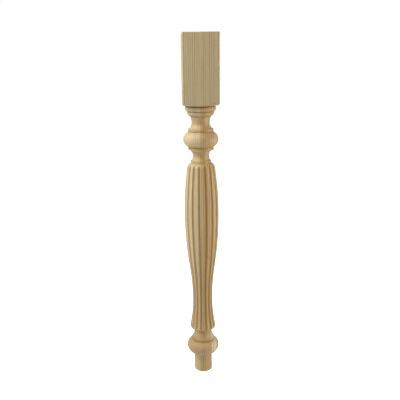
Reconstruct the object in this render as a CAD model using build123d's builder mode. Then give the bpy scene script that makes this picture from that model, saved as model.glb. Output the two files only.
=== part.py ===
from build123d import *
import os
from math import sqrt

# Turned and fluted wooden table leg, made in one piece from a square blank.
# It stands on its toe: the origin is the middle of the toe's end, +Z is up the
# leg, and the faces of the square block look along X and Y. Sizes are millimetres.

# The blank
leg_height = 710.0
block_width = 70.0
block_length = 136.0
arris = 0.8
pommel_rise = 7.8
turning_margin = 3.0

# Necking bead, right under the block
bead_height = 11.8
bead_radius = 30.8
bead_crown_drop = 4.6
bead_top_step = 1.6
bead_foot_step = 6.6

# Ring under the necking bead
ring_height = 8.7
ring_radius = 26.7
ring_foot_step = 5.5

# Cove between the ring and the ball
cove_height = 24.0
cove_waist_radius = 17.9
cove_waist_drop = 12.0
cove_top_step = 0.5

# Fillet on top of the ball
ball_cap_height = 5.8
ball_cap_radius = 25.2
ball_cap_step = 1.8

# Upper ball
ball_height = 30.6
ball_radius = 34.95
ball_crown_drop = 15.2
quirk = 0.7

# Fillet under the ball
ball_seat_height = 5.6
ball_seat_radius = 25.5

# Neck between the ball and the fluted shaft
neck_height = 21.2
neck_waist_radius = 16.2
neck_waist_drop = 11.5
neck_top_step = 0.7
neck_foot_step = 1.6

# Collar on top of the fluted shaft
collar_height = 5.0
collar_radius = 20.2

# Toe, the round end that stands on the floor
toe_length = 40.8
toe_radius = 19.0
toe_break = 1.2
toe_quirk = 0.4

# Foot ball, above the toe
foot_height = 31.2
foot_radius = 34.1
foot_crown_rise = 17.7

# Fillet on top of the foot ball
foot_cap_height = 6.7
foot_cap_radius = 23.5

# Ankle, the cove between the foot and the shaft
ankle_height = 19.5
ankle_waist_radius = 17.9
ankle_waist_drop = 3.8
ankle_foot_step = 0.8

# Fluted shaft: its long curve runs upright at the belly and the waist, and turns between them
belly_drop = 107.5
belly_radius = 34.9
waist_rise = 68.8
waist_radius = 20.75
turn_rise = 69.0
shoulder_height = 9.5
shoulder_radius = 27.9
hip_height = 12.8
hip_radius = 26.1
hip_round = 7.0

# Flutes, cut along the shaft with a round-nosed cutter, whose nose is drawn with narrow flats
flute_count = 16
nose_flats = 12
flute_radius = 3.0
flute_depth = 2.3
flute_overrun = 11.7
flute_turn_rise = 12.0

# Heights of the members, counted down from the block
block_foot_z = leg_height - block_length
ring_top_z = block_foot_z - bead_height
cove_top_z = ring_top_z - ring_height
ball_cap_z = cove_top_z - cove_height
ball_top_z = ball_cap_z - ball_cap_height
ball_seat_z = ball_top_z - ball_height
neck_top_z = ball_seat_z - ball_seat_height
collar_top_z = neck_top_z - neck_height
shoulder_top_z = collar_top_z - collar_height

# Heights of the members, counted up from the floor
foot_cap_z = toe_length + foot_height
ankle_foot_z = foot_cap_z + foot_cap_height
hip_foot_z = ankle_foot_z + ankle_height

# Heights along the shaft, between its shoulder and its hip
shoulder_z = shoulder_top_z - shoulder_height
belly_z = shoulder_top_z - belly_drop
hip_z = hip_foot_z + hip_height
waist_z = hip_foot_z + waist_rise
turn_z = waist_z + turn_rise


def swept_radius(upright, through, height):
    """Gives the radius, at a height, of the arc that stands upright at one point and runs through another."""
    width = through[0] - upright[0]
    rise = through[1] - upright[1]
    bend = (width**2 + rise**2) / (2 * width)
    return upright[0] + bend * (1 - sqrt(1 - ((height - upright[1]) / bend) ** 2))


def shaft_curve(turn_height, outward=0.0, overrun=0.0):
    """Draws the shaft's long curve, moved away from the axis and run on at its two ends."""
    belly = (belly_radius + outward, belly_z)
    waist = (waist_radius + outward, waist_z)
    turn_share = (turn_height - waist_z) / (belly_z - waist_z)
    turn = (waist_radius + outward + (belly_radius - waist_radius) * turn_share, turn_height)
    top_z = shoulder_z + overrun
    top_radius = swept_radius((belly_radius, belly_z), (shoulder_radius, shoulder_z), top_z)
    foot_z = hip_z - overrun
    foot_radius = swept_radius((waist_radius, waist_z), (hip_radius, hip_z), foot_z)
    top_arc = TangentArc(belly, (top_radius + outward, top_z), tangent=(0, 1))
    TangentArc(belly, turn, tangent=(0, -1))
    TangentArc(waist, turn, tangent=(0, 1))
    foot_arc = TangentArc(waist, (foot_radius + outward, foot_z), tangent=(0, -1))
    return top_arc, foot_arc


def crown(top, middle, foot):
    """Draws a bead or a cove as two arcs that meet upright at its widest or narrowest point."""
    TangentArc(middle, top, tangent=(0, 1))
    TangentArc(middle, foot, tangent=(0, -1))


# One pass of the flute cutter, which runs on past the shoulder and the hip
with BuildPart() as flute_cutter:
    with BuildLine(Plane.XZ) as cutter_path:
        shaft_curve(turn_z + flute_turn_rise, flute_radius - flute_depth, flute_overrun)
    cutter_wire = cutter_path.wires()[0]
    with BuildSketch(Plane(origin=cutter_wire @ 0, z_dir=cutter_wire % 0)):
        RegularPolygon(flute_radius, nose_flats)
    sweep(path=cutter_wire)

with BuildPart() as turned_leg:
    # Half the outline, drawn from the floor up and closed along the axis
    with BuildSketch(Plane.XZ):
        with BuildLine():
            Polyline(
                (0, 0),
                (toe_radius - toe_break, 0),
                (toe_radius, toe_break),
                (toe_radius, toe_length),
                (toe_radius + toe_quirk, toe_length),
            )
            crown(
                (foot_cap_radius - quirk, foot_cap_z),
                (foot_radius, toe_length + foot_crown_rise),
                (toe_radius + toe_quirk, toe_length),
            )
            Polyline(
                (foot_cap_radius - quirk, foot_cap_z),
                (foot_cap_radius, foot_cap_z),
                (foot_cap_radius, ankle_foot_z),
                (foot_cap_radius - ankle_foot_step, ankle_foot_z),
            )
            ankle_waist = (ankle_waist_radius, hip_foot_z - ankle_waist_drop)
            TangentArc(ankle_waist, (foot_cap_radius - ankle_foot_step, ankle_foot_z), tangent=(0, -1))
            ankle_top = (ankle_waist_radius, hip_foot_z)
            Line(ankle_waist, ankle_top)
            top_arc, foot_arc = shaft_curve(turn_z)
            hip_corner = foot_arc @ 1 + (foot_arc % 1) * (hip_height / abs((foot_arc % 1).Y))
            FilletPolyline(foot_arc @ 1, hip_corner, ankle_top, radius=hip_round)
            collar_foot = (collar_radius, shoulder_top_z)
            TangentArc(top_arc @ 1, collar_foot, tangent=top_arc % 1)
            Polyline(
                collar_foot,
                (collar_radius, collar_top_z),
                (collar_radius - neck_foot_step, collar_top_z),
            )
            crown(
                (ball_seat_radius - neck_top_step, neck_top_z),
                (neck_waist_radius, neck_top_z - neck_waist_drop),
                (collar_radius - neck_foot_step, collar_top_z),
            )
            Polyline(
                (ball_seat_radius - neck_top_step, neck_top_z),
                (ball_seat_radius, neck_top_z),
                (ball_seat_radius, ball_seat_z),
                (ball_seat_radius - quirk, ball_seat_z),
            )
            ThreePointArc(
                (ball_cap_radius - quirk, ball_top_z),
                (ball_radius, ball_top_z - ball_crown_drop),
                (ball_seat_radius - quirk, ball_seat_z),
            )
            Polyline(
                (ball_cap_radius - quirk, ball_top_z),
                (ball_cap_radius, ball_top_z),
                (ball_cap_radius, ball_cap_z),
                (ball_cap_radius - ball_cap_step, ball_cap_z),
            )
            ring_foot_radius = ring_radius - ring_foot_step
            crown(
                (ring_foot_radius - cove_top_step, cove_top_z),
                (cove_waist_radius, cove_top_z - cove_waist_drop),
                (ball_cap_radius - ball_cap_step, ball_cap_z),
            )
            Line((ring_foot_radius - cove_top_step, cove_top_z), (ring_foot_radius, cove_top_z))
            TangentArc((ring_radius, ring_top_z), (ring_foot_radius, cove_top_z), tangent=(0, -1))
            Line((ring_radius, ring_top_z), (bead_radius - bead_foot_step, ring_top_z))
            crown(
                (bead_radius - bead_top_step, block_foot_z),
                (bead_radius, block_foot_z - bead_crown_drop),
                (bead_radius - bead_foot_step, ring_top_z),
            )
            rim_radius = block_width / sqrt(2) + turning_margin
            rim = (rim_radius, block_foot_z + pommel_rise)
            TangentArc((bead_radius - bead_top_step, block_foot_z), rim, tangent=(1, 0))
            Polyline(rim, (rim_radius, leg_height), (0, leg_height), (0, 0))
        make_face()
    revolve(axis=Axis.Z)

    # The square blank that it is turned from
    with BuildSketch(Plane.XY) as blank:
        Rectangle(block_width, block_width)
        chamfer(blank.vertices(), arris)
    extrude(amount=leg_height, mode=Mode.INTERSECT)
    chamfer(turned_leg.faces().sort_by(Axis.Z)[-1].edges(), arris)

    # A land between two flutes faces each side of the block
    with PolarLocations(0, flute_count, start_angle=180 / flute_count):
        add(flute_cutter.part, mode=Mode.SUBTRACT)

turned_leg.part.label = "turned_leg"

os.makedirs("parts", exist_ok=True)
export_step(turned_leg.part, "parts/turned_leg.step")
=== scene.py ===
# %% [markdown]
# # A turned and fluted table leg
#
# This lesson dresses one wooden furniture leg: a square block on top, a stack of
# turned beads and balls, a long fluted shaft and a plain round toe. The real one
# starts as a square length of pale hardwood. It is turned between centres on a
# lathe, and then a round-nosed cutter runs along the shaft sixteen times.
#
# The imported model is loaded first and gives the frame: everything below is in
# metres and stands where the model stands.

# %% Load the frame
import math

import bpy
import numpy as np
from mathutils import Matrix, Vector


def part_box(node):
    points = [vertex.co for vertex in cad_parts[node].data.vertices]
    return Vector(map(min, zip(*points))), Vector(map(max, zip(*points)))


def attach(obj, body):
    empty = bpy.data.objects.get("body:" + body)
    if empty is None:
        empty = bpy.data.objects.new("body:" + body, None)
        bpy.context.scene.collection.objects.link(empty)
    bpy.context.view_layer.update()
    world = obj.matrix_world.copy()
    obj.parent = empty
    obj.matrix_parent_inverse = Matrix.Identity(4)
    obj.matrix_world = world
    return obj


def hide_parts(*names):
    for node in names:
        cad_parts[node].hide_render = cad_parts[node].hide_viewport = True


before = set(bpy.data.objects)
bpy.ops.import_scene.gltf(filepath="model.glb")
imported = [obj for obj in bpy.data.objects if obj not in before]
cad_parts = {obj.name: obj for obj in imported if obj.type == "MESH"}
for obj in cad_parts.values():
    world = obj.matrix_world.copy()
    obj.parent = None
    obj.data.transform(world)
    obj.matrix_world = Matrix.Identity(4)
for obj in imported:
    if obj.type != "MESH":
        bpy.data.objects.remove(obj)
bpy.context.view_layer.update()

# %% [markdown]
# ## The camera
#
# A photograph of a tall thing taken from close by shows its own perspective: the
# block on top looks wider than the toe, and beads near the floor are seen from
# above. Those clues fix the camera. It stands a metre away, a little lower than
# the top of the leg, and looks down. Blender's lens is given in millimetres for a
# 36 mm sensor, so a focal length in pixels is divided by the picture's width.

# %% Camera
picture_width = 400
focal_pixels = 520
sensor_width = 36.0
camera_distance = 1.034
camera_height = 0.641
camera_side_turn = math.radians(3.7)
camera_pitch = math.radians(14.0)
camera_roll = math.radians(-0.7)
axis_offset_pixels = 1.5

camera_data = bpy.data.cameras.new("photo_camera")
camera_data.sensor_width = sensor_width
camera_data.lens = focal_pixels / picture_width * sensor_width
camera = bpy.data.objects.new("photo_camera", camera_data)
bpy.context.scene.collection.objects.link(camera)

aim_turn = math.atan(axis_offset_pixels / focal_pixels) / math.cos(camera_pitch)
stand = Vector((
    -math.sin(camera_side_turn) * camera_distance,
    -math.cos(camera_side_turn) * camera_distance,
    camera_height,
))
camera.matrix_world = (
    Matrix.Translation(stand)
    @ Matrix.Rotation(aim_turn - camera_side_turn, 4, "Z")
    @ Matrix.Rotation(math.pi / 2 - camera_pitch, 4, "X")
    @ Matrix.Rotation(camera_roll, 4, "Z")
)
bpy.context.scene.camera = camera
print("camera lens", round(camera_data.lens, 2), "mm at", [round(value, 3) for value in stand])

# %% [markdown]
# ## The maker's sizes
#
# A turner works from a story stick: a strip of wood with every shoulder marked on
# it, and a set of calipers for the diameters. These values are that stick, in
# millimetres. Heights count up from the floor and radii out from the axis, and a
# point of the outline is written as its radius and its height. The overall height
# and the block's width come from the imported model.

# %% Sizes of the turned members
mm = 0.001
low_corner, high_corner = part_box("turned_leg")
leg_height = high_corner[2] / mm
block_width = (high_corner[0] - low_corner[0]) / mm
block_length = 136.0
block_foot = leg_height - block_length
arris = 0.8

toe_radius = 19.0
toe_top = 40.8
toe_round = 1.5
toe_rows = (8.0, 16.0, 24.0)
toe_flare = ((0.1, 10.0), (0.25, 7.0), (0.5, 4.5), (0.9, 2.6), (1.5, 1.3), (1.8, 0.7), (0.4, 0.0))
foot_seat = (21.9, 41.3)
foot_crown = (34.1, 58.5)
foot_top = (22.4, 73.2)
foot_cap_radius = 23.5
foot_cap_top = 78.7
ankle_foot = (22.7, foot_cap_top)
ankle_waist = (18.2, 96.0)
hip_foot = (18.2, 98.9)

hip = (26.1, 111.0)
hip_round = 5.6
waist = (20.75, 167.0)
turn_height = 236.0
belly = (34.9, 353.8)
shoulder = (27.9, 451.8)

collar_foot = (20.2, 461.3)
collar_top = 466.3
neck_foot = (18.6, collar_top)
neck_waist = (16.2, 476.0)
neck_top = (24.8, 487.5)
ball_seat_radius = 25.5
ball_seat_top = 493.1
ball_foot = (24.8, ball_seat_top)
ball_crown = (34.95, 508.5)
ball_top = (24.5, 523.7)
ball_cap_radius = 25.2
ball_cap_top = 529.5
cove_foot = (23.4, ball_cap_top)
cove_waist = (17.9, 541.5)
cove_top = (20.7, 553.5)
ring_foot = (21.2, cove_top[1])
ring_top = (26.7, 562.2)
bead_foot = (24.8, ring_top[1])
bead_crown = (30.8, 569.4)
bead_top = (28.2, block_foot)
pommel_rise = 7.8
pommel_margin = 3.0

flute_count = 16
flute_radius = 3.0
flute_depth = 2.3
print("leg", round(leg_height, 1), "mm tall, block", round(block_width, 1), "mm wide")

# %% [markdown]
# ## The outline, one tool cut at a time
#
# Every swelling on a spindle is cut from its widest point downhill to each side,
# so the outline is drawn the same way: an arc that stands upright at the crown
# and runs to the quirk beside it. A second helper rounds a corner between two
# straight cuts, as a skew chisel rolls it over. Each gives the number of points
# that it is asked for, so a member stays easy to read and easy to change.

# %% Outline helpers
def swept_radius(upright, through, height):
    """Radius at a height on the arc that stands upright at one point and runs through another."""
    width = through[0] - upright[0]
    rise = through[1] - upright[1]
    bend = (width**2 + rise**2) / (2 * width)
    return upright[0] + bend * (1 - math.sqrt(1 - ((height - upright[1]) / bend) ** 2))


def swung(start, lean, end, steps):
    """Points of the arc that leaves a point along a direction and runs to its end."""
    start = Vector(start)
    lean = Vector(lean).normalized()
    chord = Vector(end) - start
    half_turn = math.atan2(lean.x * chord.y - lean.y * chord.x, lean.dot(chord))
    bend = chord.length / (2 * math.sin(half_turn))
    points = []
    for step in range(steps + 1):
        angle = half_turn * step / steps
        points.append(tuple(start + Matrix.Rotation(angle, 2) @ lean * (2 * bend * math.sin(angle))))
    return points


def rolled(upright, end, steps):
    """Points of the arc from its upright point to its end."""
    return swung(upright, (0, end[1] - upright[1]), end, steps)


def lean_at_end(upright, end):
    """The direction in which the arc from its upright point reaches its end."""
    chord = (Vector(end) - Vector(upright)).normalized()
    start = Vector((0, math.copysign(1, chord.y)))
    return 2 * start.dot(chord) * chord - start


def corner_round(before, corner, after, radius, steps):
    """Points of the round that is tangent to both sides of a corner."""
    corner = Vector(corner)
    back = (Vector(before) - corner).normalized()
    ahead = (Vector(after) - corner).normalized()
    half = back.angle(ahead) / 2
    centre = corner + (back + ahead).normalized() * (radius / math.sin(half))
    start = corner + back * (radius / math.tan(half)) - centre
    sweep = math.pi - 2 * half
    if back.x * ahead.y - back.y * ahead.x > 0:
        sweep = -sweep
    points = []
    for step in range(steps + 1):
        points.append(tuple(centre + Matrix.Rotation(sweep * step / steps, 2) @ start))
    return points


print("foot ball", len(rolled(foot_crown, foot_top, steps=10)), "points to each side of its crown")

# %% [markdown]
# ## The shaft
#
# The shaft is a vase: upright at its belly and at its waist, with a slow change of
# direction between them. Two arcs meet on the straight line from belly to waist,
# which is the one place where they share a tangent. At both ends the curve rolls
# over into the collar and the ankle.

# %% Shaft outline
turn_share = (turn_height - waist[1]) / (belly[1] - waist[1])
turn = (waist[0] + (belly[0] - waist[0]) * turn_share, turn_height)
hip_lean = lean_at_end(waist, hip)
hip_corner = Vector(hip) + hip_lean * ((hip_foot[1] - hip[1]) / hip_lean.y)
hip_points = corner_round(hip_foot, hip_corner, hip, hip_round, steps=14)
shoulder_points = swung(shoulder, lean_at_end(belly, shoulder), collar_foot, steps=16)
shaft_points = (
    rolled(waist, hip, steps=26)[::-1]
    + rolled(waist, turn, steps=20)[1:]
    + rolled(belly, turn, steps=32)[::-1][1:]
    + rolled(belly, shoulder, steps=30)[1:]
)
print("shaft outline", len(shaft_points), "points, hip corner", [round(value, 2) for value in hip_corner])

# %% [markdown]
# ## The whole outline
#
# The members are strung together from the floor to the block. The toe is straight
# but for its last ten millimetres, where it flares a little to the foot ball, with
# a fine quirk cut between them. The flare is drawn point by point: each of its points says
# how far it stands out from the toe and how far it lies below the toe's top.
#
# Real wood has no knife edges: sandpaper takes the sharpness off every corner. So
# each corner of the outline is broken by about a third of a millimetre, which also
# gives the light a narrow line to catch.

# %% Whole outline
def both_sides(foot, middle, top, steps):
    """A member from its foot over its crown, or through its waist, to its top."""
    return rolled(middle, foot, steps)[::-1] + rolled(middle, top, steps)[1:]


outline = (
    corner_round((0, 0), (toe_radius, 0), (toe_radius, toe_top), toe_round, steps=5)
    + [(toe_radius, height) for height in toe_rows]
    + [(toe_radius + out, toe_top - down) for out, down in toe_flare]
    + both_sides(foot_seat, foot_crown, foot_top, steps=10)
    + [(foot_cap_radius, foot_top[1]), (foot_cap_radius, foot_cap_top)]
    + rolled(ankle_waist, ankle_foot, steps=9)[::-1]
    + [hip_foot]
    + hip_points
    + shaft_points
    + shoulder_points
    + [collar_foot, (collar_foot[0], collar_top)]
    + both_sides(neck_foot, neck_waist, neck_top, steps=8)
    + [(ball_seat_radius, neck_top[1]), (ball_seat_radius, ball_seat_top)]
    + both_sides(ball_foot, ball_crown, ball_top, steps=10)
    + [(ball_cap_radius, ball_top[1]), (ball_cap_radius, ball_cap_top)]
    + both_sides(cove_foot, cove_waist, cove_top, steps=9)
    + rolled(ring_top, ring_foot, steps=8)[::-1]
    + both_sides(bead_foot, bead_crown, bead_top, steps=8)
)
print("outline drawn with", len(outline), "points")

# %% Broken corners
same_place = 0.02
corner_break = 0.35
corner_share = 0.4
least_corner = math.radians(24)


def without_repeats(points):
    """Drops a point that repeats the one before it."""
    kept = [points[0]]
    for point in points[1:]:
        if (Vector(point) - Vector(kept[-1])).length > same_place:
            kept.append(point)
    return kept


def break_corners(points):
    """Cuts each sharp corner of an outline into a small three-point round."""
    done = [points[0]]
    for before, here, after in zip(points, points[1:], points[2:]):
        back = Vector(before) - Vector(here)
        ahead = Vector(after) - Vector(here)
        if math.pi - back.angle(ahead) < least_corner:
            done.append(here)
            continue
        start = Vector(here) + back.normalized() * min(corner_break, back.length * corner_share)
        end = Vector(here) + ahead.normalized() * min(corner_break, ahead.length * corner_share)
        middle = (start + end) / 4 + Vector(here) / 2
        done += [tuple(start), tuple(middle), tuple(end)]
    return done + [points[-1]]


outline = break_corners(without_repeats(outline))
outline_radius = np.array([radius for radius, height in outline])
outline_height = np.array([height for radius, height in outline])
print("outline", len(outline), "points, widest", round(outline_radius.max(), 2), "mm")

# %% [markdown]
# ## Columns that follow the flutes
#
# The surface is a grid: the outline's points are its rows and the columns go round
# the leg. On a plain member the columns may stand anywhere, but beside a flute one
# must lie exactly on the flute's edge, or the edge would look chewed. A flute keeps
# its width while the shaft swells and narrows, so the angle of its edge is worked
# out for each row from the cutter's radius and how far out the cutter runs. A plain
# row spreads its columns as if it had a flute of a set width, and a row where the
# flute is very fine keeps a narrow one.

# %% Flute edges
cutter_out = flute_radius - flute_depth
land_end = math.pi / flute_count
plain_edge = 0.55 * land_end
narrow_edge = 0.35 * plain_edge


def cutter_line(height):
    """How far from the axis the cutter's centre runs at a height."""
    if height > belly[1]:
        return swept_radius(belly, shoulder, height) + cutter_out
    if height > turn[1]:
        return swept_radius(belly, turn, height) + cutter_out
    if height > waist[1]:
        return swept_radius(waist, turn, height) + cutter_out
    return swept_radius(waist, hip, height) + cutter_out


def flute_edge(radius, centre):
    """Half angle of the flute where it meets the land, or zero where the cutter misses the wood."""
    cosine = (centre**2 + radius**2 - flute_radius**2) / (2 * centre * radius)
    return math.acos(cosine) if cosine < 1 else 0.0


in_shaft = (outline_height > hip_foot[1]) & (outline_height < collar_foot[1])
centres = np.array([
    cutter_line(height) if fluted else 0.0 for height, fluted in zip(outline_height, in_shaft)
])
edges = np.array([
    flute_edge(radius, centre) if fluted else 0.0
    for radius, centre, fluted in zip(outline_radius, centres, in_shaft)
])
flute_heights = outline_height[edges > 0]
print("flutes run from", round(flute_heights.min(), 1), "to", round(flute_heights.max(), 1))

# %% [markdown]
# Beyond the ends of a flute the columns drift back to an even spread. Near the
# block they drift to a spread that suits a square: even steps across each flat,
# with a column on both corners of the little chamfer along each arris.

# %% Column angles
groove_shares = (0.0, 0.3, 0.55, 0.76, 0.91, 1.0)
land_shares = (0.0, 0.33, 0.67)
lip_width = 0.35
lip_share = 0.4
column_count = flute_count * 2 * (len(groove_shares) + len(land_shares))
first_corner = -math.pi / 4
half_width = block_width / 2


def sector_angles(edge, radius):
    """Angles of one flute and half a land on each side, counted from the flute's middle."""
    lip = min(edge + lip_width / radius, edge + lip_share * (land_end - edge))
    groove = [edge * share for share in groove_shares]
    land = [lip + (land_end - lip) * share for share in land_shares]
    half = groove + land
    return [-angle for angle in half[:0:-1]] + half


def fluted_angles(edge, radius):
    """Column angles all the way round, from the block's first corner."""
    angles = []
    for sector in range(flute_count):
        middle = first_corner + (2 * sector + 1) * land_end
        angles.append(middle - land_end)
        angles += [middle + angle for angle in sector_angles(edge, radius)]
    return np.array(angles)


def block_angles():
    """Column angles all the way round that suit the square block."""
    corner = math.atan2(half_width - arris, half_width)
    flat_steps = column_count // 4 - 2
    flat = [math.atan(math.tan(corner) * (2 * step / flat_steps - 1)) for step in range(flat_steps + 1)]
    angles = []
    for side in range(4):
        angles.append(first_corner + side * math.pi / 2)
        angles += [side * math.pi / 2 + angle for angle in flat]
    return np.array(angles)


print("columns", column_count)

# %% Columns of each row
run_out_length = 3.0
least_radius = 1.0
layout_edge = np.where(in_shaft, np.maximum(edges, narrow_edge), plain_edge)
for row in np.where(in_shaft & (edges == 0))[0]:
    nearest = np.abs(outline_height - outline_height[row])[edges > 0].min()
    blend = min(1.0, nearest / run_out_length)
    layout_edge[row] = layout_edge[row] * (1 - blend) + plain_edge * blend
squareness = np.clip((outline_height - neck_top[1]) / (ring_foot[1] - neck_top[1]), 0, 1)
square_angles = block_angles()
angle_rows = np.array([
    (1 - square) * fluted_angles(edge, max(radius, least_radius)) + square * square_angles
    for edge, radius, square in zip(layout_edge, outline_radius, squareness)
])
print("grid", angle_rows.shape, "rows and columns")

# %% [markdown]
# ## Painted shade in the hollows
#
# Shade is painted into the hollows: each row of points gets a value that says how
# much painted shade it takes. Part of it is worked out: a row counts as deep by how
# far it lies inside the widest wood within three millimetres of it. The rest is
# listed from the floor up. Most entries are quirks, the sharp little valleys between
# two members, where the painted shade makes dark lines. The neck and the cove are in
# the list too, as wide soft patches of painted shade. Each entry has a height, the
# depth of its shade, and how many millimetres the shade reaches up and down.

# %% Depth of the hollows
shelter_reach = 3.0
shelter_depth = 16.0
painted_hollow_shades = (
    (toe_top, 1.3, 2.2),
    (foot_top[1], 0.9, 1.6),
    (foot_cap_top, 0.4, 1.5),
    (hip_foot[1], 0.5, 2.0),
    (collar_foot[1], 0.9, 1.8),
    (collar_top, 0.6, 1.5),
    (neck_waist[1], 0.45, 13.0),
    (neck_top[1], 0.6, 1.6),
    (ball_seat_top, 1.3, 2.4),
    (ball_top[1], 0.9, 1.6),
    (ball_cap_top, 0.6, 1.6),
    (cove_waist[1], 0.7, 14.0),
    (cove_top[1], 1.4, 2.2),
    (ring_top[1], 1.1, 1.8),
    (block_foot, 1.6, 3.6),
)
# Painted shade: a row that lies inside wider wood nearby gets a darker tint, standing in for shade.
widest_near = np.array([
    outline_radius[np.abs(outline_height - height) < shelter_reach].max() for height in outline_height
])
painted_shade_depth = np.clip((widest_near - outline_radius) / shelter_depth, 0, 1)
for height, shade, reach in painted_hollow_shades:
    nearness = np.clip(1 - np.abs(outline_height - height) / reach, 0, 1)
    painted_shade_depth = np.maximum(painted_shade_depth, shade * nearness)
print("painted_hollow_shades", len(painted_hollow_shades), "deepest shade", painted_shade_depth.max())

# %% [markdown]
# ## The turned surface
#
# Each point starts on the turned outline. Where the cutter reaches deeper, the
# point is pulled in to the round of the cutter, and the flute's lip is lowered by
# about a tenth of a millimetre, as sanding leaves it. A flute floor gets painted
# shade as well, so the larger of the two shade values is kept: the flute's or the row's own.

# %% Turned and fluted rows
lip_drop = 0.12
out_of_reach = 1000.0
same_angle = 0.0001
flute_middles = first_corner + (2 * np.arange(flute_count) + 1) * land_end
ring_rows = []
painted_shade_rows = []


def add_row(radii, angles, heights, painted_shade):
    """Adds one row of points round the leg, and how much painted shade each of them gets."""
    heights = np.broadcast_to(heights, radii.shape)
    ring_rows.append(np.stack((radii * np.cos(angles), radii * np.sin(angles), heights), 1))
    painted_shade_rows.append(np.broadcast_to(painted_shade, radii.shape))


def flute_floor(angles, centre):
    """Each column's radius on the cutter's round, far out where it misses, and its angle off the flute."""
    apart = angles[:, None] - flute_middles[None, :]
    nearest = np.abs((apart + math.pi) % (2 * math.pi) - math.pi).min(axis=1)
    inside = flute_radius**2 - (centre * np.sin(nearest)) ** 2
    floor = centre * np.cos(nearest) - np.sqrt(np.maximum(inside, 0))
    return np.where(inside > 0, floor, out_of_reach), nearest


for row, (radius, height) in enumerate(outline):
    radii = np.full(column_count, radius)
    painted_shade = painted_shade_depth[row]
    if edges[row] > 0:
        floor, off_middle = flute_floor(angle_rows[row], centres[row])
        on_lip = np.abs(off_middle - edges[row]) < same_angle
        radii = np.minimum(radii, floor) - np.where(on_lip, lip_drop, 0)
        # Painted shade: the flute floors are tinted darker by their depth.
        painted_shade = np.maximum(painted_shade, np.clip((radius - radii) / flute_depth, 0, 1))
    add_row(radii, angle_rows[row], height, painted_shade)
print("turned rows", len(ring_rows))

# %% [markdown]
# ## The block and its pommel
#
# Where the round work meets the square, the lathe leaves a curved shoulder, called
# a pommel: the flats come down lowest in the middle of each face and stay high at
# the corners. Each column therefore climbs the shoulder's curve only as far as its
# own place on the square, and the flat starts there.

# %% Pommel
def square_radius(angles):
    """Distance from the axis to the chamfered square, for each column angle."""
    across = np.maximum(np.abs(np.cos(angles)), np.abs(np.sin(angles)))
    corner = np.abs(np.cos(angles)) + np.abs(np.sin(angles))
    return np.minimum(half_width / across, (2 * half_width - arris) / corner)


rim_radius = block_width / math.sqrt(2) + pommel_margin
pommel_run = rim_radius - bead_top[0]
pommel_bend = (pommel_run**2 + pommel_rise**2) / (2 * pommel_rise)


def pommel_height(radii):
    """Height of the shoulder's curve, which leaves the bead level and climbs outward."""
    return block_foot + pommel_bend - np.sqrt(pommel_bend**2 - (radii - bead_top[0]) ** 2)


flat_radius = square_radius(square_angles)
flat_foot = pommel_height(flat_radius)
print("flats start at", round(flat_foot.min(), 2), "to", round(flat_foot.max(), 2))

# %% Block rows
pommel_shares = (0.25, 0.5, 0.75, 0.93)
flat_shares = (0.0, 0.04, 0.2, 0.4, 0.6, 0.8, 0.96, 1.0)
top_shares = (1.0, 0.66, 0.33)
pommel_shade = 0.25
rim_break = 0.6 * corner_break

# Painted shade under the block: the pommel rows next to the bead get a little, fading outward.
for share in pommel_shares:
    radii = bead_top[0] + (flat_radius - bead_top[0]) * share
    add_row(radii, square_angles, pommel_height(radii), pommel_shade * (1 - share))
rim = flat_radius - rim_break
add_row(rim, square_angles, pommel_height(rim), 0.0)
first_flat_row = len(ring_rows)
flat_top = leg_height - arris
for share in flat_shares:
    heights = (flat_foot + corner_break) * (1 - share) + flat_top * share
    add_row(flat_radius, square_angles, heights, 0.0)
last_flat_row = len(ring_rows) - 1
top_radius = flat_radius * (half_width - arris) / half_width
for share in top_shares:
    add_row(top_radius * share, square_angles, leg_height, 0.0)
print("all rows", len(ring_rows))

# %% [markdown]
# ## One closed mesh
#
# Neighbouring rows are joined by four-sided faces, and a fan closes the toe and the
# top. Faces are smooth, with a hard edge wherever two of them meet at more than 32
# degrees. The finish of each face is chosen here too: turned wood, the planed flats
# of the block, or the sawn end grain on top.

# %% Leg mesh
hard_edge = math.radians(32)
planed_slot = 1
sawn_slot = 2


def build_leg():
    """Makes the leg's mesh from the rows and puts it on the frame."""
    rows = len(ring_rows)
    points = np.concatenate(ring_rows)
    points = np.concatenate((points, [[0, 0, 0], [0, 0, leg_height]])) * mm
    index = np.arange(rows * column_count).reshape(rows, column_count)
    beside = np.roll(index, -1, axis=1)
    sides = np.stack((index[:-1], beside[:-1], beside[1:], index[1:]), -1).reshape(-1, 4)
    toe_centre = rows * column_count
    top_centre = toe_centre + 1
    faces = sides.tolist()
    faces += [(toe_centre, after, here) for here, after in zip(index[0], beside[0])]
    faces += [(top_centre, here, after) for here, after in zip(index[-1], beside[-1])]
    mesh = bpy.data.meshes.new("turned_leg_finished")
    mesh.from_pydata(points.tolist(), [], faces)
    mesh.validate()
    # The painted shade values go onto the mesh for the wood's colour.
    painted_shade = np.concatenate(painted_shade_rows + [[0.0, 0.0]])
    layer = mesh.attributes.new("painted_shade", "FLOAT", "POINT")
    layer.data.foreach_set("value", painted_shade.astype(np.float32))
    finish = np.zeros(len(mesh.polygons), dtype=np.int32)
    finish[first_flat_row * column_count:last_flat_row * column_count] = planed_slot
    finish[(last_flat_row + 1) * column_count:(rows - 1) * column_count] = sawn_slot
    finish[len(sides) + column_count:] = sawn_slot
    mesh.polygons.foreach_set("material_index", finish)
    mesh.shade_smooth()
    mesh.set_sharp_from_angle(angle=hard_edge)
    leg = bpy.data.objects.new("turned_leg_finished", mesh)
    bpy.context.scene.collection.objects.link(leg)
    return leg


leg = build_leg()
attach(leg, "root")
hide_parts("turned_leg")
triangles = sum(len(face.vertices) - 2 for face in leg.data.polygons)
print("leg mesh", len(leg.data.vertices), "points,", triangles, "triangles")

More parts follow.
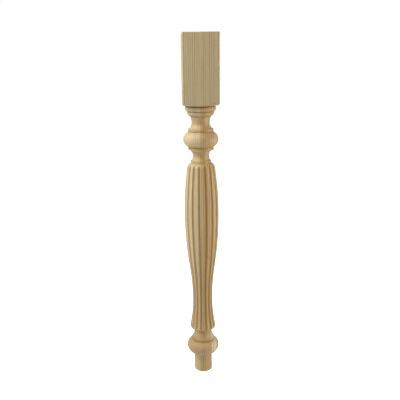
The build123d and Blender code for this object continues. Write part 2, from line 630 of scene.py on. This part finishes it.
# %% [markdown]
# ## Wood as a solid
#
# Turned wood shows its figure cut through at every depth, so a picture wrapped
# round the leg would never look right. The pattern is a solid one, made from the
# point's place in the board. It is kept in small node groups with named sockets,
# because all three finishes cut through the same board.
#
# The helpers below make a group, its sockets and its links with little writing. The
# second cell of them works with values and colours: it scales, compares and mixes
# them.

# %% Node helpers
def new_group(name, inputs, outputs):
    """Starts a shader node group with named sockets and gives it with its two ends."""
    group = bpy.data.node_groups.new(name, "ShaderNodeTree")
    for socket_name, kind, value in inputs:
        socket = group.interface.new_socket(socket_name, in_out="INPUT", socket_type=kind)
        if value is not None:
            socket.default_value = value
    for socket_name, kind in outputs:
        group.interface.new_socket(socket_name, in_out="OUTPUT", socket_type=kind)
    return group, group.nodes.new("NodeGroupInput"), group.nodes.new("NodeGroupOutput")


def feed(tree, socket, value):
    """Links a socket to another one, or sets its value."""
    if isinstance(value, bpy.types.NodeSocket):
        tree.links.new(value, socket)
    else:
        socket.default_value = value


def add_node(tree, kind, settings=None, **values):
    """Adds a node, sets its properties, and sets or links its inputs by name."""
    node = tree.nodes.new(kind)
    for key, value in (settings or {}).items():
        setattr(node, key, value)
    for key, value in values.items():
        feed(tree, node.inputs[key.replace("_", " ")], value)
    return node


print("helpers that make groups and nodes are ready")

# %% Helpers for values and colours
def calc(tree, operation, first, second=0.0):
    """A Math node's answer."""
    node = add_node(tree, "ShaderNodeMath", {"operation": operation})
    feed(tree, node.inputs[0], first)
    feed(tree, node.inputs[1], second)
    return node.outputs[0]


def times(tree, first, second):
    """The product of two values."""
    return calc(tree, "MULTIPLY", first, second)


def stretched(tree, place, factors):
    """A place multiplied along each axis, so that a pattern made from it is squeezed or drawn out."""
    node = add_node(tree, "ShaderNodeVectorMath", {"operation": "MULTIPLY"})
    feed(tree, node.inputs[0], place)
    feed(tree, node.inputs[1], factors)
    return node.outputs[0]


def between(tree, value, low, high, out_low=0.0, out_high=1.0):
    """A value mapped from one range to another, held at the ends."""
    node = add_node(tree, "ShaderNodeMapRange", {"interpolation_type": "SMOOTHSTEP"}, Value=value,
                    From_Min=low, From_Max=high, To_Min=out_low, To_Max=out_high)
    return node.outputs[0]


def within(tree, value, low, high, soft):
    """A mask that is one between two limits, with a soft edge inside each of them."""
    return times(tree, between(tree, value, low, low + soft),
                 between(tree, value, high - soft, high, 1.0, 0.0))


def tint(tree, amount, first, second, blend="MIX"):
    """Two colours mixed by an amount."""
    node = add_node(tree, "ShaderNodeMix", {"data_type": "RGBA", "blend_type": blend})
    for number, value in ((0, amount), (6, first), (7, second)):
        feed(tree, node.inputs[number], value)
    return node.outputs[2]


def stained(tree, colour, stain, mask, strength):
    """A colour stained with a second one where a mask says, at a given strength."""
    return tint(tree, times(tree, mask, strength), colour, stain)


noise_low = 0.35
noise_high = 0.65
print("most of a noise lies between", noise_low, "and", noise_high)

# %% [markdown]
# ### Growth rings
#
# The rings are shells round the tree's pith, which lies well outside a board this
# small, to the left of the leg. The distance from the pith, bent a little by slow
# noise, gives the ring a point lies in, and each ring darkens towards its late wood.
# A second noise makes some rings fainter than others. The same distance parts the
# board in two: beyond a certain ring the wood is browner, and that ring runs down
# the front of the leg as a fine upright line.

# %% Growth rings
pith_left = 0.17
pith_front = 0.03
brown_start = 0.1644
brown_full = 0.1653
drift_stretch = (14.0, 14.0, 2.2)
late_start = 0.25
late_full = 0.86
late_end = 0.9
faint_ring = 0.35


def make_growth_rings():
    """Group: place in the board to the late wood of its rings, and to the browner side."""
    group, ends_in, ends_out = new_group(
        "Growth rings",
        [("Place", "NodeSocketVector", None), ("Ring Width", "NodeSocketFloat", 0.004),
         ("Waviness", "NodeSocketFloat", 0.002)],
        [("Late Wood", "NodeSocketFloat"), ("Brown Side", "NodeSocketFloat")],
    )
    place = ends_in.outputs["Place"]
    drift = add_node(group, "ShaderNodeTexNoise", Vector=stretched(group, place, drift_stretch),
                     Scale=1.0, Detail=2.0)
    parts = add_node(group, "ShaderNodeSeparateXYZ", Vector=place)
    aside = calc(group, "POWER", calc(group, "ADD", parts.outputs["X"], pith_left), 2.0)
    ahead = calc(group, "POWER", calc(group, "ADD", parts.outputs["Y"], pith_front), 2.0)
    distance = calc(group, "SQRT", calc(group, "ADD", aside, ahead))
    bent = calc(group, "ADD", distance, times(group, drift.outputs[0], ends_in.outputs["Waviness"]))
    phase = calc(group, "FRACT", calc(group, "DIVIDE", bent, ends_in.outputs["Ring Width"]))
    rise = between(group, phase, late_start, late_full)
    fall = between(group, phase, late_end, 1.0, 1.0, 0.0)
    uneven = add_node(group, "ShaderNodeTexNoise", {"noise_dimensions": "1D"},
                      W=bent, Scale=160.0, Detail=0.0)
    weight = between(group, uneven.outputs[0], noise_low, noise_high, faint_ring, 1.0)
    feed(group, ends_out.inputs["Late Wood"], times(group, times(group, rise, fall), weight))
    feed(group, ends_out.inputs["Brown Side"], between(group, bent, brown_start, brown_full))
    return group


growth_rings = make_growth_rings()
print("group", growth_rings.name, "with", len(growth_rings.nodes), "nodes")

# %% [markdown]
# ### Fibres and flecks
#
# Between the rings the wood is made of long fibres, so one noise is stretched
# fifty times along the leg. This timber also shows its rays as small brown flecks,
# each a few millimetres long and about one across. A Voronoi pattern, stretched and
# cut off near its cell centres, scatters them, and a part of the cells stays empty.

# %% Long fibres
fibre_stretch = (1.0, 1.0, 0.02)


def make_long_fibres():
    """Group: place in the board to fine streaks along the grain."""
    group, ends_in, ends_out = new_group(
        "Long fibres",
        [("Place", "NodeSocketVector", None), ("Fineness", "NodeSocketFloat", 600.0)],
        [("Fibre", "NodeSocketFloat")],
    )
    drawn_out = stretched(group, ends_in.outputs["Place"], fibre_stretch)
    fine = add_node(group, "ShaderNodeTexNoise", Vector=drawn_out,
                    Scale=ends_in.outputs["Fineness"], Detail=3.0, Roughness=0.6)
    feed(group, ends_out.inputs["Fibre"], fine.outputs[0])
    return group


long_fibres = make_long_fibres()
print("group", long_fibres.name)

# %% Ray flecks
fleck_stretch = (1.0, 1.0, 0.22)
empty_below = 0.55
full_above = 0.75


def make_ray_flecks():
    """Group: place in the board to a mask of small brown flecks."""
    group, ends_in, ends_out = new_group(
        "Ray flecks",
        [("Place", "NodeSocketVector", None), ("Flecks Per Metre", "NodeSocketFloat", 420.0),
         ("Fleck Size", "NodeSocketFloat", 0.26)],
        [("Fleck", "NodeSocketFloat")],
    )
    drawn_out = stretched(group, ends_in.outputs["Place"], fleck_stretch)
    cells = add_node(group, "ShaderNodeTexVoronoi", Vector=drawn_out,
                     Scale=ends_in.outputs["Flecks Per Metre"])
    spot = calc(group, "DIVIDE", cells.outputs["Distance"], ends_in.outputs["Fleck Size"])
    chance = add_node(group, "ShaderNodeSeparateXYZ", Vector=cells.outputs["Color"])
    kept = between(group, chance.outputs["X"], empty_below, full_above)
    feed(group, ends_out.inputs["Fleck"], times(group, between(group, spot, 0.5, 1.0, 1.0, 0.0), kept))
    return group


ray_flecks = make_ray_flecks()
print("group", ray_flecks.name)

# %% [markdown]
# ### The board
#
# One group brings rings, fibres and flecks together into the colour of the board.
# The blank was not even: one side is browner than the other, with soft bands a
# centimetre wide. The wood is made darker and browner towards the bottom, and
# browner still in a cloud over the foot ball, with one paler streak in it that is a
# painted highlight. The paler side hides some of its rings. The hollows get painted
# shade from the depths kept in the mesh. The grain does not run quite true to the
# leg, so the board is tipped a little before its rings, fibres and flecks are worked out.

# %% Colours of the wood
pale_wood = (0.575, 0.46, 0.265, 1.0)
late_wood = (0.28, 0.18, 0.07, 1.0)
brown_side = (0.42, 0.265, 0.105, 1.0)
lower_brown = (0.51, 0.36, 0.18, 1.0)
cloud_brown = (0.37, 0.255, 0.115, 1.0)
# Colour of the painted highlight on the foot ball.
painted_highlight_colour = (0.60, 0.50, 0.34, 1.0)
fleck_brown = (0.27, 0.165, 0.06, 1.0)
# Colour of the painted shade in hollows and quirks.
painted_shade_brown = (0.32, 0.19, 0.045, 1.0)
print("pale wood", pale_wood[:3], "late wood", late_wood[:3])

# %% Places in the board
board_tip = (math.radians(0.5), math.radians(-0.35), 0.0)
band_stretch = (90.0, 40.0, 1.6)
band_low = 0.6
lower_full = 0.12
lower_fade_top = 0.30
lower_strength = 0.7
cloud_foot = 0.045
cloud_top = 0.092
cloud_edge = 0.012
cloud_strength = 0.75
# Place of the painted highlight: a paler streak on the right of the foot ball.
streak_left = 0.014
streak_right = 0.031
streak_edge = 0.005
painted_highlight_strength = 0.9
pale_side_brown = 0.12
pale_side_fade = 0.75
fibre_low = 0.42
fibre_high = 0.75
fibre_share = 0.7
print("brown cloud from", cloud_foot, "to", cloud_top, "m above the floor")

# %% Board colour
def make_board():
    """Group: the colour of the board, with its painted shade and painted highlight, and the height of its
    grain at any point.
    """
    group, ends_in, ends_out = new_group(
        "Pale board",
        [("Ring Contrast", "NodeSocketFloat", 0.5), ("Fibre Contrast", "NodeSocketFloat", 0.28),
         ("Fleck Contrast", "NodeSocketFloat", 0.4), ("Hollow Shade", "NodeSocketFloat", 0.75),
         ("Side Contrast", "NodeSocketFloat", 0.85), ("Tone", "NodeSocketColor", (1.0, 1.0, 1.0, 1.0))],
        [("Color", "NodeSocketColor"), ("Grain", "NodeSocketFloat")],
    )
    given = ends_in.outputs
    place = add_node(group, "ShaderNodeTexCoord").outputs["Object"]
    tipped = add_node(group, "ShaderNodeMapping", Vector=place, Rotation=board_tip).outputs[0]
    rings = add_node(group, "ShaderNodeGroup", {"node_tree": growth_rings}, Place=tipped)
    fibres = add_node(group, "ShaderNodeGroup", {"node_tree": long_fibres}, Place=tipped)
    flecks = add_node(group, "ShaderNodeGroup", {"node_tree": ray_flecks}, Place=tipped)
    bands = add_node(group, "ShaderNodeTexNoise", Vector=stretched(group, tipped, band_stretch),
                     Scale=1.0, Detail=2.0)
    painted_shade = add_node(group, "ShaderNodeAttribute", {"attribute_name": "painted_shade"})
    parts = add_node(group, "ShaderNodeSeparateXYZ", Vector=place)
    browner = rings.outputs["Brown Side"]

    toward_floor = between(group, parts.outputs["Z"], lower_full, lower_fade_top, 1.0, 0.0)
    band = between(group, bands.outputs[0], noise_low, noise_high, band_low, 1.0)
    side_tone = calc(group, "ADD", times(group, browner, given["Side Contrast"]), pale_side_brown)
    cloud = within(group, parts.outputs["Z"], cloud_foot, cloud_top, cloud_edge)
    # Painted highlight: a paler streak on the right of the foot ball.
    painted_highlight = times(group, cloud, within(group, parts.outputs["X"], streak_left, streak_right, streak_edge))
    pale_side = calc(group, "SUBTRACT", 1.0, browner)
    fade = times(group, times(group, pale_side, given["Side Contrast"]), pale_side_fade)
    ring_mark = times(group, rings.outputs["Late Wood"], calc(group, "SUBTRACT", 1.0, fade))
    fibre_mark = between(group, fibres.outputs["Fibre"], fibre_low, fibre_high)

    colour = stained(group, pale_wood, lower_brown, toward_floor, lower_strength)
    colour = stained(group, colour, brown_side, band, side_tone)
    colour = stained(group, colour, cloud_brown, cloud, cloud_strength)
    colour = stained(group, colour, painted_highlight_colour, painted_highlight, painted_highlight_strength)
    colour = stained(group, colour, late_wood, ring_mark, given["Ring Contrast"])
    colour = stained(group, colour, late_wood, fibre_mark, given["Fibre Contrast"])
    colour = stained(group, colour, fleck_brown, flecks.outputs["Fleck"], given["Fleck Contrast"])
    # Painted shade darkens the hollows.
    colour = stained(group, colour, painted_shade_brown, painted_shade.outputs["Fac"], given["Hollow Shade"])
    feed(group, ends_out.inputs["Color"], tint(group, 1.0, colour, given["Tone"], "MULTIPLY"))
    grain = calc(group, "ADD", times(group, fibres.outputs["Fibre"], fibre_share),
                 times(group, rings.outputs["Late Wood"], 1.0 - fibre_share))
    feed(group, ends_out.inputs["Grain"], grain)
    return group


board = make_board()
print("group", board.name, "with", len(board.nodes), "nodes")

# %% [markdown]
# ### Tool marks
#
# A lathe leaves the finest of lines round the work, even after sanding, while a
# planed flat shows faint marks along the grain. Both are lines across one
# direction, so one group makes them: a noise squeezed in the direction across the
# lines.

# %% Tool marks
def make_tool_marks():
    """Group: a height for fine lines that run level round the leg or up along it."""
    group, ends_in, ends_out = new_group(
        "Tool marks",
        [("Squeeze", "NodeSocketVector", (60.0, 60.0, 2500.0))],
        [("Height", "NodeSocketFloat")],
    )
    place = add_node(group, "ShaderNodeTexCoord").outputs["Object"]
    lines = add_node(group, "ShaderNodeTexNoise", Vector=stretched(group, place, ends_in.outputs["Squeeze"]),
                     Scale=1.0, Detail=2.0)
    feed(group, ends_out.inputs["Height"], lines.outputs[0])
    return group


tool_marks = make_tool_marks()
print("group", tool_marks.name)

# %% [markdown]
# ## Three finishes from one board
#
# The turned work, the planed flats and the sawn top are the same wood with
# different surfaces. Each material places the same groups with its own values: its
# tone, the direction of its tool marks, how strong its grain looks and how rough it
# is.
# Raw sanded wood has a fine nap, and a little sheen in the shader brightens it
# where it turns away from the eye.

# %% Finishes
grain_low = 0.3
grain_high = 0.7
smoother = 0.06
rougher = 0.08
grain_height = 0.6
wood_gloss = 0.35
wood_sheen = 0.12


def wood_finish(name, squeeze, tone, ring_contrast, fleck_contrast, side_contrast, roughness, mark_depth):
    """A material for one way of working the board."""
    material = bpy.data.materials.new(name)
    material.use_nodes = True
    tree = material.node_tree
    shader = tree.nodes["Principled BSDF"]
    wood = add_node(tree, "ShaderNodeGroup", {"node_tree": board},
                    Ring_Contrast=ring_contrast, Fleck_Contrast=fleck_contrast,
                    Side_Contrast=side_contrast, Tone=tone)
    marks = add_node(tree, "ShaderNodeGroup", {"node_tree": tool_marks}, Squeeze=squeeze)
    rough = between(tree, wood.outputs["Grain"], grain_low, grain_high,
                    roughness - smoother, roughness + rougher)
    height = calc(tree, "ADD", times(tree, wood.outputs["Grain"], grain_height),
                  times(tree, marks.outputs["Height"], 1.0 - grain_height))
    bump = add_node(tree, "ShaderNodeBump", Height=height, Distance=mark_depth, Strength=0.5)
    feed(tree, shader.inputs["Base Color"], wood.outputs["Color"])
    feed(tree, shader.inputs["Roughness"], rough)
    feed(tree, shader.inputs["Normal"], bump.outputs[0])
    shader.inputs["Specular IOR Level"].default_value = wood_gloss
    shader.inputs["Sheen Weight"].default_value = wood_sheen
    return material


turned_wood = wood_finish(
    "Turned wood", squeeze=(60.0, 60.0, 2500.0), tone=(1.0, 1.0, 1.0, 1.0), ring_contrast=0.9,
    fleck_contrast=0.35, side_contrast=0.85, roughness=0.54, mark_depth=0.00012,
)
planed_wood = wood_finish(
    "Planed wood", squeeze=(1500.0, 1500.0, 40.0), tone=(0.86, 0.86, 0.85, 1.0), ring_contrast=0.58,
    fleck_contrast=0.45, side_contrast=0.14, roughness=0.6, mark_depth=0.00012,
)
end_grain = wood_finish(
    "Sawn end grain", squeeze=(900.0, 120.0, 900.0), tone=(0.9, 0.88, 0.85, 1.0), ring_contrast=0.9,
    fleck_contrast=0.1, side_contrast=0.4, roughness=0.75, mark_depth=0.0003,
)
for finish in (turned_wood, planed_wood, end_grain):
    leg.data.materials.append(finish)
print("finishes", [material.name for material in leg.data.materials])

# %% [markdown]
# ## The floor
#
# The photograph is a plain catalogue shot, white all round. The floor is a real
# surface, so that it keeps the leg's soft shadow and throws light up under the
# beads, as white paper does. It looks white to the camera because its material
# adds some light of its own for camera rays only, which never reaches the wood.

# %% Floor
floor_reach = 30.0
floor_grey = (0.85, 0.85, 0.85, 1.0)
floor_glow = 0.93
white = (1.0, 1.0, 1.0, 1.0)


def make_floor():
    """A wide pale floor that shows white to the camera and keeps the shadow."""
    mesh = bpy.data.meshes.new("studio_floor")
    corners = [(x * floor_reach, y * floor_reach, 0) for x, y in ((-1, -1), (1, -1), (1, 1), (-1, 1))]
    mesh.from_pydata(corners, [], [(0, 1, 2, 3)])
    floor = bpy.data.objects.new("studio_floor", mesh)
    bpy.context.scene.collection.objects.link(floor)
    material = bpy.data.materials.new("Pale floor")
    material.use_nodes = True
    tree = material.node_tree
    shader = tree.nodes["Principled BSDF"]
    shader.inputs["Base Color"].default_value = floor_grey
    shader.inputs["Roughness"].default_value = 1.0
    shader.inputs["Specular IOR Level"].default_value = 0.0
    shader.inputs["Emission Color"].default_value = white
    path = add_node(tree, "ShaderNodeLightPath")
    feed(tree, shader.inputs["Emission Strength"], times(tree, path.outputs["Is Camera Ray"], floor_glow))
    mesh.materials.append(material)
    return floor


floor = make_floor()
print("floor", floor.dimensions[0], "m across")

# %% [markdown]
# ## The sky
#
# The sky could light the whole leg evenly, but then the turning would look flat.
# So it gives only a weak fill, while the camera and the gloss of the wood see it
# at full white. A Light Path node tells the rays that only look at the sky from
# those that gather its light.

# %% Sky
sky_fill = 0.15
world = bpy.data.worlds.new("studio_sky")
bpy.context.scene.world = world
world.use_nodes = True
sky_tree = world.node_tree
sky = sky_tree.nodes["Background"]
sky.inputs["Color"].default_value = white
sky_path = add_node(sky_tree, "ShaderNodeLightPath")
seen = calc(sky_tree, "MAXIMUM", sky_path.outputs["Is Camera Ray"], sky_path.outputs["Is Glossy Ray"])
seen = calc(sky_tree, "MAXIMUM", seen, sky_path.outputs["Is Transmission Ray"])
strength = calc(sky_tree, "ADD", times(sky_tree, seen, 1.0 - sky_fill), sky_fill)
feed(sky_tree, sky.inputs["Strength"], strength)
print("sky fill", sky_fill)

# %% [markdown]
# ## The lamps
#
# A large soft box high on the left is the main light and shapes the beads. A weaker
# one stands low on the right and keeps the far side from going dark, and a third,
# weaker still, stands in front and above and opens up the flutes. Large lamps give
# the soft edges of a studio, where small ones would cut hard shadows.

# %% Lamps
def soft_lamp(name, place, target, width, height, power):
    """A rectangular soft box that faces a point on the leg."""
    data = bpy.data.lights.new(name, "AREA")
    data.shape = "RECTANGLE"
    data.size = width
    data.size_y = height
    data.energy = power
    lamp = bpy.data.objects.new(name, data)
    lamp.location = place
    lamp.rotation_euler = (Vector(target) - Vector(place)).to_track_quat("-Z", "Y").to_euler()
    bpy.context.scene.collection.objects.link(lamp)
    return lamp


leg_middle = (0.0, 0.0, leg_height * mm / 2)
lamps = (
    soft_lamp("key_lamp", (-1.25, -0.22, 1.4), leg_middle, width=0.8, height=1.2, power=29.5),
    soft_lamp("fill_lamp", (1.2, -0.28, 0.35), leg_middle, width=0.7, height=0.6, power=12.0),
    soft_lamp("front_lamp", (0.1, -1.1, 1.7), leg_middle, width=0.8, height=0.8, power=8.2),
)
bpy.context.scene.view_settings.view_transform = "Standard"
print("lamps", [(lamp.name, round(lamp.data.energy, 1)) for lamp in lamps], "W")
